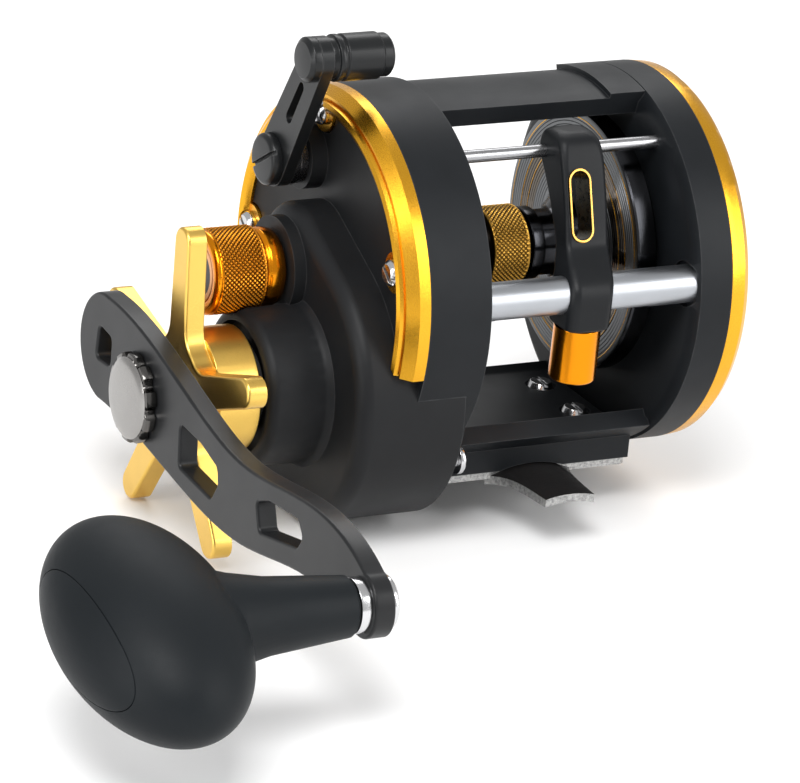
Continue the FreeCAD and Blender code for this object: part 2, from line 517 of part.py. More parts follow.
# ---- controls ---------------------------------------------------------------------------
def build_controls():
    grip = revolve([(-51.8, 0), (-51.8, 7.0), (-52.4, 7.6), (-55.6, 7.6), (-56.2, 8.25), (-66.2, 8.25),
                    (-66.9, 7.5), (-66.9, 5.7), (-66.2, 5.7), (-66.2, 0)], SPOOL)
    add("cast_control_knob", cut(grip, cyl(-60.8, -50, 2.6, SPOOL)))
    add("cast_knob_badge", revolve([(-66.2, 0), (-66.2, 5.68), (-66.7, 5.68), (-66.9, 5.2), (-66.9, 0)],
                                   SPOOL))
    add("cast_control_shim", cyl(-60.8, -60.3, 2.5, SPOOL))

    blade = link(-49.5, -47.0, LEVER_PIVOT, 5.3, LEVER_KNOB, 4.3)
    mid = [tuple(p + t * (k - p) for p, k in zip(LEVER_PIVOT, LEVER_KNOB)) for t in (0.42, 0.72)]
    slot = link(-50, -46, mid[0], 1.15, mid[1], 1.0)
    add("free_spool_lever", cut(blade, slot, cyl(-60, -40, 2.05, LEVER_PIVOT),
                                cyl(-60, -40, 1.55, LEVER_KNOB)))
    barrel = [(-47.0, 0), (-47.0, 3.7), (-46.6, 3.9), (-45.7, 3.9), (-45.6, 4.5), (-44.6, 4.5),
              (-44.5, 4.1), (-44.0, 4.1), (-43.8, 4.5), (-36.6, 4.5), (-36.4, 4.15), (-34.6, 4.15),
              (-34.0, 3.5), (-34.0, 0)]
    add("lever_knob", cut(revolve(barrel, LEVER_KNOB), cyl(-48, -40, 1.5, LEVER_KNOB)))
    add("lever_knob_rivet", fuse(revolve([(-49.5, 0), (-49.5, 4.3), (-51.0, 4.3), (-51.7, 3.4), (-52.0, 0)],
                                         LEVER_KNOB), cyl(-49.6, -40.2, 1.5, LEVER_KNOB)))
    head = pan_screw(-42.0, -49.5, 5.0, 2.1, 1.0, LEVER_PIVOT)
    add("lever_screw", head)
    add("lever_washers", group(tube(-47.0, -45.7, 5.2, 2.05, LEVER_PIVOT),
                               tube(-45.6, -44.05, 5.0, 2.05, LEVER_PIVOT)))
    finger = (LEVER_PIVOT[0] + 5.0, LEVER_PIVOT[1] - 10.2)
    jack = fuse(cyl(-49.4, -35.0, 2.0, LEVER_PIVOT), link(-36.3, -34.9, LEVER_PIVOT, 3.8, finger, 1.9))
    add("eccentric_jack", cut(jack, cyl(-60, -41.9, 1.0, LEVER_PIVOT)))


# ---- handle -----------------------------------------------------------------------------
def is_star_notch(edge):
    """True for the inside corners where the star's arms leave its hub."""
    mid = edge.CenterOfMass
    reach = math.hypot(mid.y - CRANK[0], mid.z - CRANK[1])
    return edge.BoundBox.XLength > 3 and 10.5 < reach < 11.5


def build_handle():
    x0, x1 = STAR_X
    arms = []
    for a in STAR_ARMS:
        tip, root = polar(STAR_TIP_R - 2.95, a, CRANK), polar(6.0, a, CRANK)
        arms.append(link(x0, x1, root, 3.6, tip, 2.95))
    star = fuse(cyl(x0, x1, 11.0, CRANK), *arms)
    star = rounded(star, 5.0, is_star_notch)
    star = rounded(star, 0.6, lambda e: abs(e.CenterOfMass.x - x0) < 0.01)
    star = fuse(star, cyl(x1, -62.2, 12.05, CRANK))
    add("star_drag", cut(star, cyl(-80, -60, 3.56, CRANK)))
    cones = []
    for x in (-59.6, -60.8):
        cones.append(revolve([(x, 3.7), (x - 0.5, 9.0), (x - 1.0, 9.0), (x - 0.5, 3.7)], CRANK))
    add("drag_spring_washers", group(*cones))

    x0, x1 = ARM_X
    spine = (((8.5, -13.8), 10.6), ((-13.7, -15.8), 9.9), ((-35.5, -19.8), 8.6), ((-51.5, -20.9), 7.7),
             ((-75.5, -17.4), 6.9), (EYE, 6.1))
    arm = strip(x0, x1, spine)
    windows = [[(10.7, -10.0), (5.1, -10.6), (4.9, -16.2), (11.3, -16.6)],
               [(-26.3, -15.6), (-35.1, -16.1), (-42.5, -18.0), (-43.1, -21.0), (-40.9, -24.6),
                (-27.1, -23.8)],
               [(-58.9, -17.8), (-63.6, -15.9), (-75.1, -14.6), (-77.3, -17.3), (-75.7, -19.8),
                (-60.9, -23.0)]]
    holes = []
    for outline in windows:
        hole = prism(outline, x0 - 1, x1 + 1)
        holes.append(rounded(hole, 1.2, lambda e: e.BoundBox.XLength > 3))
    arm = cut(arm, *holes)
    arm = rounded(arm, 0.55, lambda e: abs(e.CenterOfMass.x - x0) < 0.01)
    add("handle_arm", cut(arm, cyl(-90, -70, 3.52, CRANK), cyl(-90, -70, 2.52, EYE)))

    nut = revolve([(x0, 0), (x0, 8.3), (-83.3, 8.3), (-84.1, 7.6), (-84.5, 5.6), (-84.7, 0)], CRANK)
    scallops = [cyl(-90, -70, 2.2, polar(9.8, 36.0 * k, CRANK)) for k in range(10)]
    add("handle_nut", cut(nut, cyl(-82.7, -78, 3.52, CRANK), *scallops))

    rivet = revolve([(x1, 0), (x1, 4.9), (x1 + 1.3, 4.9), (x1 + 1.8, 4.3), (x1 + 1.8, 0)], EYE)
    add("knob_spindle", fuse(cyl(-105.2, x1, 2.5, EYE), rivet))
    add("knob_collar", tube(-83.8, x0, 5.0, 2.56, EYE))

    ball = Part.makeSphere(1.0)
    stretch = FreeCAD.Matrix()
    stretch.scale(V(16.7, 26.6, 13.0))
    ball = ball.transformGeometry(stretch)
    ball.rotate(V(0, 0, 0), EX, KNOB_TILT)
    ball.translate(V(KNOB_X, *EYE))
    stem = revolve([(-84.1, 0), (-84.1, 5.0), (-84.7, 5.5), (-100.0, 6.9), (-107.0, 8.3), (-112.0, 9.8),
                    (-112.0, 0)], EYE)
    add("knob_badge", medallion(16.6, 6.9).common(ball))
    ball = ball.cut(medallion(16.75, 7.05, 0.1))
    add("handle_knob", fuse(ball, stem.cut(cyl(-105.5, -80, 2.56, EYE))))


def medallion(half_long, half_short, lift=0.0):
    """Oval prism at the outer end of the knob."""
    outline = Part.Ellipse(V(0, 0, 0), half_long, half_short)
    face = Part.Face(Part.Wire(outline.toShape()))
    solid = face.extrude(V(0, 0, 20))
    solid.rotate(V(0, 0, 0), V(0, 0, 1), 90)
    solid.rotate(V(0, 0, 0), V(0, 1, 0), -90)
    solid.rotate(V(0, 0, 0), EX, KNOB_TILT)
    solid.translate(V(KNOB_X - 10.4 + lift, *BADGE_AT))
    return solid


def build_all():
    for step in (build_frame, build_foot, build_head_side, build_bridge, build_tail_side, build_spool,
                 build_gears, build_level_wind, build_controls, build_handle):
        step()


build_all()
os.makedirs("parts", exist_ok=True)
for name, shape in PARTS.items():
    moved = shape.copy()
    moved.translate(SHIFT)
    moved.exportStep("parts/%s.step" % name)
    print(name, shape.isValid(), len(shape.Solids), round(shape.Volume, 1))
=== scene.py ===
"""Looks of the trolling reel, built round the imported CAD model.

The CAD nodes are shown with materials and softened edges. Where the CAD is too plain, such as a
knurl or a turned flange, a piece drawn here takes the node's place.
"""
import json
import math

import bmesh
import bpy
from mathutils import Matrix, Vector


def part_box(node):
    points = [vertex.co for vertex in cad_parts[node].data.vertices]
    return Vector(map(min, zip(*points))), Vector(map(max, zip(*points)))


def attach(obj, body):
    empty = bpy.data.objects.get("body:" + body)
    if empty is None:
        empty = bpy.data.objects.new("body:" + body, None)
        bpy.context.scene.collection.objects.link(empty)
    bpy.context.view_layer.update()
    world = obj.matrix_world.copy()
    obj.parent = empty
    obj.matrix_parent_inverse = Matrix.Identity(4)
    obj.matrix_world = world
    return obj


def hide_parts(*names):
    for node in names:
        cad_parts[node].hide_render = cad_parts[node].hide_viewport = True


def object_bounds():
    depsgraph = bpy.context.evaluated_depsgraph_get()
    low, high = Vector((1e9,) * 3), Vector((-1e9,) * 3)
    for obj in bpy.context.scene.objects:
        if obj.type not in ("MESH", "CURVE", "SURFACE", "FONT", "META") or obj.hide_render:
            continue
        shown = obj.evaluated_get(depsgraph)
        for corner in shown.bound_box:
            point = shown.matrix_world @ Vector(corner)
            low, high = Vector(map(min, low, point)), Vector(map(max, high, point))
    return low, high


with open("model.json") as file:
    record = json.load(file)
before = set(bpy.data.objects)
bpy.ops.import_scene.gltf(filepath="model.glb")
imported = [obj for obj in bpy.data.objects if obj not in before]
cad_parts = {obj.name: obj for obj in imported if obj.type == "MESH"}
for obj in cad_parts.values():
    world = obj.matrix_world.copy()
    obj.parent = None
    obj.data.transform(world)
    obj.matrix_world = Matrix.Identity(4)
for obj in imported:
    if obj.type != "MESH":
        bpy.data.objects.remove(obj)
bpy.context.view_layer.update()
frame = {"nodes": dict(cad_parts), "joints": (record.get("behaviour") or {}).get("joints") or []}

MM = 0.001
TAU = 2.0 * math.pi
JOINTS = {j["name"]: j for j in frame["joints"]}
NODES = frame["nodes"]

# Middle of the frame rings in the row frame. Sizes below are mm from there.
TAIL_RING_X = 27.62  # inner face of the tail trim ring
ring_low, ring_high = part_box("tail_trim_ring")
HUB = Vector((ring_low.x - TAIL_RING_X * MM, (ring_low.y + ring_high.y) / 2,
              (ring_low.z + ring_high.z) / 2))


def axis_of(joint):
    """(y, z) of a joint's axis in mm from the ring centre."""
    p = Vector(JOINTS[joint]["pos_m"]) - HUB
    return (p.y / MM, p.z / MM)


CRANK, SPOOL, WORM = axis_of("crank_turn"), axis_of("spool_turn"), axis_of("worm_turn")
LEVER = axis_of("lever_swing")


def place(x, y, z):
    """Point in the row frame, in metres, from mm about the ring centre."""
    return (HUB.x + x * MM, HUB.y + y * MM, HUB.z + z * MM)


# ---- materials ------------------------------------------------------------------------
class Shader:
    """Short way to write a node material."""

    def __init__(self, name, **sockets):
        self.mat = bpy.data.materials.new(name)
        self.mat.use_nodes = True
        self.tree = self.mat.node_tree
        self.tree.nodes.clear()
        self.out = self.add("ShaderNodeOutputMaterial")
        self.bsdf = self.add("ShaderNodeBsdfPrincipled")
        self.link(self.bsdf.outputs[0], self.out.inputs[0])
        self.coord = self.add("ShaderNodeTexCoord").outputs["Object"]
        for key, value in sockets.items():
            self.bsdf.inputs[key.replace("_", " ")].default_value = value

    def add(self, kind, **props):
        """New node with its settings."""
        node = self.tree.nodes.new(kind)
        for key, value in props.items():
            setattr(node, key, value)
        return node

    def link(self, a, b):
        self.tree.links.new(a, b)

    def put(self, value, socket):
        """Link an output to a socket, or set a plain value on it."""
        if hasattr(value, "is_linked"):
            self.link(value, socket)
        else:
            socket.default_value = value

    def math(self, operation, a, b=0.0):
        node = self.add("ShaderNodeMath", operation=operation)
        self.put(a, node.inputs[0])
        self.put(b, node.inputs[1])
        return node.outputs[0]

    def scaled(self, scale):
        """Object coordinates times a scale along each axis."""
        node = self.add("ShaderNodeMapping")
        self.link(self.coord, node.inputs["Vector"])
        node.inputs["Scale"].default_value = scale
        return node.outputs[0]

    def noise(self, scale, detail, rough=0.5, vector=None):
        node = self.add("ShaderNodeTexNoise")
        self.link(vector or self.coord, node.inputs["Vector"])
        node.inputs["Scale"].default_value = scale
        node.inputs["Detail"].default_value = detail
        node.inputs["Roughness"].default_value = rough
        return node.outputs["Fac"]

    def span(self, value, from_min, from_max, to_min, to_max):
        """Map a value from one range to another, held at the ends."""
        node = self.add("ShaderNodeMapRange")
        self.link(value, node.inputs["Value"])
        for index, limit in enumerate((from_min, from_max, to_min, to_max), start=1):
            node.inputs[index].default_value = limit
        return node.outputs[0]

    def blend(self, factor, a, b):
        """Mix of two colours; a Mix node's colour sockets are 6 and 7 in, 2 out."""
        node = self.add("ShaderNodeMix", data_type="RGBA")
        self.put(factor, node.inputs["Factor"])
        self.put(a, node.inputs[6])
        self.put(b, node.inputs[7])
        return node.outputs[2]

    def bump(self, height, distance):
        node = self.add("ShaderNodeBump")
        self.link(height, node.inputs["Height"])
        node.inputs["Distance"].default_value = distance
        node.inputs["Strength"].default_value = 1.0
        return node.outputs[0]

    def radius(self, centre):
        """Distance in mm from an axis along X, and the place along X in metres."""
        sep = self.add("ShaderNodeSeparateXYZ")
        self.link(self.coord, sep.inputs[0])
        y = self.math("SUBTRACT", sep.outputs[1], HUB.y + centre[0] * MM)
        z = self.math("SUBTRACT", sep.outputs[2], HUB.z + centre[1] * MM)
        r2 = self.math("ADD", self.math("MULTIPLY", y, y), self.math("MULTIPLY", z, z))
        return self.math("MULTIPLY", self.math("SQRT", r2), 1000.0), sep.outputs[0]

    def use(self, color, rough, normal, metal=None):
        """Finish the material with its colour, roughness, normal and metal share."""
        self.put(color, self.bsdf.inputs["Base Color"])
        self.put(rough, self.bsdf.inputs["Roughness"])
        self.put(normal, self.bsdf.inputs["Normal"])
        if metal is not None:
            self.put(metal, self.bsdf.inputs["Metallic"])
        return self.mat


def rgba(color):
    return (color[0], color[1], color[2], 1.0)


def shade(color, factor):
    return tuple(min(1.0, v * factor) for v in color)


# Noise frequencies of the surfaces, per metre.
MOTTLE_NOISE, WEAR_NOISE, SMEAR_NOISE = 90.0, 420.0, 60.0
STAIN_NOISE, BLAST_NOISE, TURNED_NOISE, POLISH_NOISE = 70.0, 9000.0, 6500.0, 40.0

PLASTIC_GLOSS = 0.17   # specular level of moulded and painted surfaces
EDGE_WEAR_HIGHLIGHT_RADIUS = 0.35     # mm from an edge that is painted lighter, as rubbing wear and as a painted edge highlight
METAL_STAIN = 0.06     # colour variation of metal, as a share
METAL_GRAIN = 0.004    # mm, bump depth of metal
HOLLOW_SHADE = 0.10    # share of the colour left as painted shade at the bottom of knurl grooves


def plastic(name, color, rough, grain, depth, mottle=0.12, edge_wear_highlight=0.0, coat=0.0):
    """Moulded or painted surface: fine grain, faint mottling, edges painted lighter as rubbing
    wear and as a painted edge highlight.

    grain and depth are the size and the height of the grain in mm.
    """
    s = Shader(name, Coat_Weight=coat, Coat_Roughness=0.25, Specular_IOR_Level=PLASTIC_GLOSS)
    cloud = s.noise(MOTTLE_NOISE, 4.0, 0.6)
    col = s.blend(s.span(cloud, 0.3, 0.7, 0, 1), rgba(shade(color, 1 - mottle)),
                  rgba(shade(color, 1 + mottle)))
    # Edges painted lighter: partly rubbing wear, partly a painted highlight where the edges catch
    # the light.
    if edge_wear_highlight:
        soft = s.add("ShaderNodeBevel", samples=6)
        soft.inputs["Radius"].default_value = EDGE_WEAR_HIGHLIGHT_RADIUS * MM
        geo = s.add("ShaderNodeNewGeometry")
        dot = s.add("ShaderNodeVectorMath", operation="DOT_PRODUCT")
        s.link(soft.outputs[0], dot.inputs[0])
        s.link(geo.outputs["Normal"], dot.inputs[1])
        edge_wear_highlight_mask = s.span(dot.outputs["Value"], 0.995, 0.90, 0.0, edge_wear_highlight)
        patchy = s.span(s.noise(WEAR_NOISE, 3.0), 0.35, 0.65, 0.35, 1.0)
        edge_wear_highlight_mask = s.math("MULTIPLY", edge_wear_highlight_mask, patchy)
        col = s.blend(edge_wear_highlight_mask, col, rgba(tuple(min(1, v * 1.5 + 0.10) for v in color)))
    fine = s.noise(1.0 / (grain * MM), 2.0, 0.55)
    smear = s.noise(SMEAR_NOISE, 3.0, 0.6)
    level = s.math("ADD", s.span(smear, 0.3, 0.7, rough - 0.05, rough + 0.05),
                   s.span(fine, 0.3, 0.7, -0.03, 0.03))
    return s.use(col, level, s.bump(fine, depth * MM))


def metal(name, color, rough, turned=None, brushed=None, streak=0.05, groove_shade=None):
    """Metal with turning rings about an axis, a brushed direction, or a fine blasted grain.

    The last argument gives painted shade in knurl grooves as (axis, radius, radius): the surface
    goes dark from the second radius to the first.
    """
    s = Shader(name, Metallic=1.0)
    cloud = s.noise(STAIN_NOISE, 3.0, 0.6)
    col = s.blend(s.span(cloud, 0.3, 0.7, 0, 1), rgba(shade(color, 1 - METAL_STAIN)),
                  rgba(shade(color, 1 + METAL_STAIN)))
    # Painted shade: the colour darkens towards the bottom of the knurl grooves.
    if groove_shade is not None:
        axis, dark_radius, clear_radius = groove_shade
        col = s.blend(s.span(s.radius(axis)[0], dark_radius, clear_radius, 0, 1),
                      rgba(shade(color, HOLLOW_SHADE)), col)
    grain = s.noise(BLAST_NOISE, 1.0, 0.5)
    if turned is not None:
        r, x = s.radius(turned)
        ring = s.add("ShaderNodeCombineXYZ")
        s.link(s.math("MULTIPLY", r, 0.001), ring.inputs[0])
        s.link(x, ring.inputs[1])
        grain = s.noise(TURNED_NOISE, 3.0, 0.7, ring.outputs[0])
    if brushed is not None:
        grain = s.noise(1.0, 3.0, 0.65, s.scaled(brushed))
    level = s.math("ADD", s.span(grain, 0.3, 0.7, -streak, streak),
                   s.span(s.noise(POLISH_NOISE, 3.0, 0.6), 0.3, 0.7, rough - 0.03, rough + 0.03))
    return s.use(col, level, s.bump(grain, METAL_GRAIN * MM))


GOLD = (0.78, 0.39, 0.028)
AMBER = (0.80, 0.27, 0.008)
M = {
    "frame": plastic("frame_black", (0.0085, 0.0098, 0.0115), 0.44, 0.12, 0.010, edge_wear_highlight=0.35),
    "plate": plastic("plate_charcoal", (0.0100, 0.0105, 0.0115), 0.48, 0.10, 0.014, edge_wear_highlight=0.35),
    "guide": plastic("guide_black", (0.0080, 0.0088, 0.0100), 0.40, 0.14, 0.008, edge_wear_highlight=0.3),
    "arm": plastic("arm_charcoal", (0.0120, 0.0125, 0.0135), 0.38, 0.10, 0.006, edge_wear_highlight=0.5,
                   coat=0.15),
    "lever": plastic("lever_black", (0.008, 0.0088, 0.0095), 0.34, 0.12, 0.006, edge_wear_highlight=0.5,
                     coat=0.2),
    "rubber": plastic("knob_rubber", (0.0062, 0.0082, 0.0100), 0.52, 0.16, 0.016, mottle=0.06),
    "badge": plastic("dark_badge", (0.012, 0.012, 0.014), 0.22, 0.2, 0.002, coat=0.3),
    "acetal": plastic("white_acetal", (0.80, 0.79, 0.74), 0.45, 0.12, 0.006),
    "felt": plastic("felt", (0.06, 0.06, 0.06), 0.85, 0.10, 0.05),
    "gold": metal("gold_satin", GOLD, 0.27),
    "amber": metal("amber_anodised", AMBER, 0.20),
    # The knurled sleeve and the knurled band get painted shade at the bottom of their grooves.
    "sleeve": metal("sleeve_gold", (0.62, 0.34, 0.06), 0.36, groove_shade=(SPOOL, 7.70, 7.90)),
    "amber_knurl": metal("amber_knurled", (0.72, 0.27, 0.02), 0.34, groove_shade=(SPOOL, 7.95, 8.18)),
    "star": metal("star_gold", (0.80, 0.52, 0.12), 0.32),
    "copper": metal("copper_ring", (0.82, 0.42, 0.20), 0.30),
    "mirror": metal("dark_mirror", (0.10, 0.085, 0.07), 0.10, turned=SPOOL, streak=0.02),
    "arbor": metal("arbor_black", (0.035, 0.036, 0.040), 0.18, turned=SPOOL, streak=0.03),
    # Darker copy of the nut's metal: painted shade for the fluted rim.
    "nut_flute_shade": metal("nut_flute_shade", (0.12, 0.115, 0.11), 0.16),
    "silver": metal("nut_silver", (0.33, 0.32, 0.31), 0.32, brushed=(900, 900, 12000)),
    "steel": metal("steel", (0.60, 0.60, 0.61), 0.30),
    "dark_steel": metal("dark_steel", (0.16, 0.16, 0.165), 0.26),
    "bright": metal("bright_steel", (0.60, 0.60, 0.61), 0.18),
    "bar": metal("guide_bar_steel", (0.36, 0.36, 0.37), 0.28),
    "tube": metal("tube_alloy", (0.40, 0.415, 0.44), 0.36, brushed=(300, 9000, 9000)),
    "spool": metal("spool_grey", (0.13, 0.135, 0.14), 0.34, turned=SPOOL),
    "brass": metal("brass", (0.72, 0.53, 0.22), 0.30),
    "alloy": metal("alloy", (0.66, 0.67, 0.68), 0.34),
}


def foot_paint():
    """Satin black paint on the upper and lower faces, bare cast metal on the sawn edges."""
    s = Shader("foot_paint", Specular_IOR_Level=0.3)
    geo = s.add("ShaderNodeNewGeometry")
    sep = s.add("ShaderNodeSeparateXYZ")
    s.link(geo.outputs["Normal"], sep.inputs[0])
    lean = s.math("ABSOLUTE", sep.outputs[2])
    chips = s.span(s.noise(900.0, 3.0, 0.6), 0.35, 0.65, -0.08, 0.08)
    bare = s.span(s.math("ADD", lean, chips), 0.62, 0.54, 0.0, 1.0)
    speck = s.span(s.noise(1600.0, 3.0, 0.7), 0.35, 0.65, 0.0, 1.0)
    raw = s.blend(speck, rgba((0.22, 0.22, 0.22)), rgba((0.50, 0.50, 0.49)))
    paint = s.blend(s.noise(90.0, 3.0), rgba((0.010, 0.0095, 0.0095)), rgba((0.016, 0.015, 0.015)))
    rough = s.span(s.noise(300.0, 3.0), 0.3, 0.7, 0.30, 0.42)
    return s.use(s.blend(bare, paint, raw), rough, s.bump(speck, 0.01 * MM),
                 s.math("MULTIPLY", bare, 0.8))


GUIDE_LEAN = 18.6  # degrees the line guide leans back from upright
GUIDE_FACE_NORMAL = (0.0, -0.948, 0.319)  # its front face at that lean


def eyelet_gold():
    """Gold rim on the line guide's front face; the walls turned away from the front are painted
    dark as shade inside the slot.
    """
    s = Shader("eyelet_gold", Metallic=1.0)
    geo = s.add("ShaderNodeNewGeometry")
    dot = s.add("ShaderNodeVectorMath", operation="DOT_PRODUCT")
    s.link(geo.outputs["True Normal"], dot.inputs[0])
    dot.inputs[1].default_value = GUIDE_FACE_NORMAL
    rim = s.span(dot.outputs["Value"], 0.45, 0.6, 0.0, 1.0)
    wear = s.span(s.noise(700.0, 3.0, 0.6), 0.35, 0.65, 0.0, 1.0)
    # Painted shade: walls that face away from the front are coloured near black, with slight wear
    # mottling.
    slot_painted_shade = s.blend(wear, rgba((0.030, 0.027, 0.018)), rgba((0.075, 0.062, 0.035)))
    outside = s.blend(wear, rgba((0.62, 0.34, 0.08)), rgba((0.72, 0.42, 0.10)))
    return s.use(s.blend(rim, slot_painted_shade, outside), s.span(wear, 0, 1, 0.24, 0.34),
                 s.bump(wear, 0.004 * MM))


M["foot"] = foot_paint()
M["eyelet"] = eyelet_gold()


# ---- carried-over CAD pieces ------------------------------------------------------------
WELD_GAP = 2e-6      # metres
FLAT_ANGLE = 0.6     # degrees under which facets count as one flat face
BEVEL_ANGLE = 38.0   # degrees from which an edge is bevelled
SHARP_ANGLE = 32.0   # degrees from which an edge is shaded sharp


def soften(ob, width, segments):
    """Weld, merge flat facets and bevel the real edges by width in mm, all as modifiers."""
    weld = ob.modifiers.new("weld", "WELD")
    weld.merge_threshold = WELD_GAP
    flat = ob.modifiers.new("flat", "DECIMATE")
    flat.decimate_type = "DISSOLVE"
    flat.angle_limit = math.radians(FLAT_ANGLE)
    if width:
        bevel = ob.modifiers.new("bevel", "BEVEL")
        bevel.width = width * MM
        bevel.segments = segments
        bevel.limit_method = "ANGLE"
        bevel.angle_limit = math.radians(BEVEL_ANGLE)
        bevel.miter_outer = "MITER_ARC"
        bevel.use_clamp_overlap = True
        bevel.harden_normals = False


def dress(node, look, width, segments):
    """Give a CAD node its material, smooth faces and softened edges."""
    ob = NODES[node]
    ob.data.materials.clear()
    ob.data.materials.append(M[look])
    for poly in ob.data.polygons:
        poly.use_smooth = True
        poly.material_index = 0
    if ob.data.has_custom_normals:
        ob.data.attributes.remove(ob.data.attributes["custom_normal"])
    soften(ob, width, segments)
    smooth_by_angle(ob, SHARP_ANGLE)


def smooth_by_angle(ob, degrees):
    """Sharp edges over the angle, made by an edge split, smooth elsewhere."""
    split = ob.modifiers.new("split", "EDGE_SPLIT")
    split.split_angle = math.radians(degrees)
    split.use_edge_sharp = False
    normal = ob.modifiers.new("weighted", "WEIGHTED_NORMAL")
    normal.keep_sharp = True
    normal.weight = 60


# Look of the CAD nodes that stay visible, with the width in mm and the segments of the edge
# bevel. arm_spacer isn't listed and keeps its packed look.
CAD_LOOKS = {
    "frame": ("frame", 0.35, 3), "foot": ("foot", 0.15, 2), "foot_screws": ("bright", 0.12, 2),
    "head_trim_ring": ("gold", 0.15, 2), "head_side_plate": ("plate", 0.3, 3),
    "head_plate_screws": ("bright", 0.1, 2), "housing_screw": ("bright", 0.1, 2),
    "bridge_plate": ("alloy", 0.1, 1), "bridge_screws": ("steel", 0, 1),
    "crank_bearings": ("steel", 0, 1), "tail_trim_ring": ("gold", 0.2, 2),
    "tail_side_plate": ("plate", 0.25, 2), "tail_plate_screws": ("bright", 0.1, 2),
    "tail_cap": ("plate", 0.2, 2), "click_button": ("guide", 0.2, 2),
    "click_tongue": ("steel", 0, 1), "spool_shaft": ("steel", 0.1, 1),
    "spool_bearings": ("steel", 0, 1), "click_gear": ("acetal", 0, 1),
    "main_gear": ("brass", 0, 1), "pinion": ("brass", 0, 1), "pinion_yoke": ("acetal", 0, 1),
    "gear_sleeve": ("steel", 0.1, 1), "drag_washers": ("felt", 0, 1),
    "drag_plates": ("steel", 0, 1), "ratchet": ("steel", 0, 1),
    "anti_reverse_dog": ("steel", 0, 1), "lw_crank_gear": ("acetal", 0, 1),
    "lw_idler_gear": ("acetal", 0, 1), "lw_worm_gear": ("acetal", 0, 1),
    "worm_shield": ("tube", 0.1, 2), "worm_bushings": ("brass", 0, 1),
    "guide_bar": ("bar", 0.1, 1), "line_eyelet": ("eyelet", 0.08, 2),
    "level_wind_pawl": ("brass", 0, 1), "pawl_cap": ("amber", 0.15, 2),
    "cast_control_shim": ("brass", 0, 1), "free_spool_lever": ("lever", 0.25, 3),
    "lever_knob": ("lever", 0.15, 2), "lever_knob_rivet": ("lever", 0.15, 2),
    "lever_washers": ("dark_steel", 0.1, 2), "eccentric_jack": ("steel", 0, 1),
    "star_drag": ("star", 0.5, 3), "drag_spring_washers": ("steel", 0, 1),
    "handle_arm": ("arm", 0.3, 3), "knob_spindle": ("bright", 0.15, 2),
    "knob_collar": ("bright", 0.2, 2), "handle_knob": ("rubber", 0.15, 2),
    "knob_badge": ("rubber", 0.2, 2),
}
for node_name, (look, bevel, count) in CAD_LOOKS.items():
    dress(node_name, look, bevel, count)


# ---- detailed pieces --------------------------------------------------------------------
def face_outward(me):
    """Turn every face of a closed mesh outward."""
    bm = bmesh.new()
    bm.from_mesh(me)
    bmesh.ops.recalc_face_normals(bm, faces=bm.faces)
    bm.to_mesh(me)
    bm.free()


def piece(name, verts, faces, looks, body, replaced, sharp=SHARP_ANGLE):
    """New mesh from ring-centred mm points and (corners, material index) faces."""
    me = bpy.data.meshes.new(name)
    me.from_pydata([place(*v) for v in verts], [], [f for f, _ in faces])
    for look in looks:
        me.materials.append(M[look])
    for poly, (_, index) in zip(me.polygons, faces):
        poly.use_smooth = True
        poly.material_index = index
    face_outward(me)
    ob = bpy.data.objects.new(name, me)
    bpy.context.scene.collection.objects.link(ob)
    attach(ob, body)
    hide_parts(*replaced)
    smooth_by_angle(ob, sharp)
    return ob


def lathe(profile, centre, count, shape=None, look_of=None, closed=False):
    """Verts and faces of a turned shape; shape(x, r, t) changes the radius round the turn."""
    verts, faces = [], []
    for x, r in profile:
        for k in range(count):
            t = TAU * k / count
            rr = shape(x, r, t) if shape else r
            verts.append((x, centre[0] + rr * math.cos(t), centre[1] + rr * math.sin(t)))
    rows = len(profile)
    for i in range(rows if closed else rows - 1):
        j = (i + 1) % rows
        look = look_of(profile[i], profile[j]) if look_of else 0
        for k in range(count):
            m = (k + 1) % count
            faces.append(((i * count + k, i * count + m, j * count + m, j * count + k), look))
    if not closed:
        for i in (0, rows - 1):
            look = look_of(profile[i], profile[i]) if look_of else 0
            faces.append((tuple(range(i * count, (i + 1) * count)), look))
    return verts, faces


def knurl(x0, x1, around, pitch, depth):
    """Radius change of a diamond knurl between x0 and x1: flat-topped pyramids and V grooves."""
    flat_share, fade = 0.22, 0.35  # flat part of each pitch; mm over which the ends run out

    def groove(u):
        away = abs((u % 1.0) - 0.5) * 2.0
        return max(0.0, (away - flat_share) / (1.0 - flat_share))

    def shape(x, r, t):
        if not x0 <= x <= x1:
            return r
        turn = around * t / TAU
        ease = min(1.0, (x - x0) / fade, (x1 - x) / fade)
        return r - depth * ease * max(groove(turn + x / pitch), groove(turn - x / pitch))
    return shape


def steps(a, b, count):
    """Even steps from a to b, both ends included."""
    return [a + (b - a) * k / count for k in range(count + 1)]


KNURL_SHARP = 60.0  # degrees: the knurl's small faces shade as one surface
KNURL_PITCH = 0.95  # mm along the axis


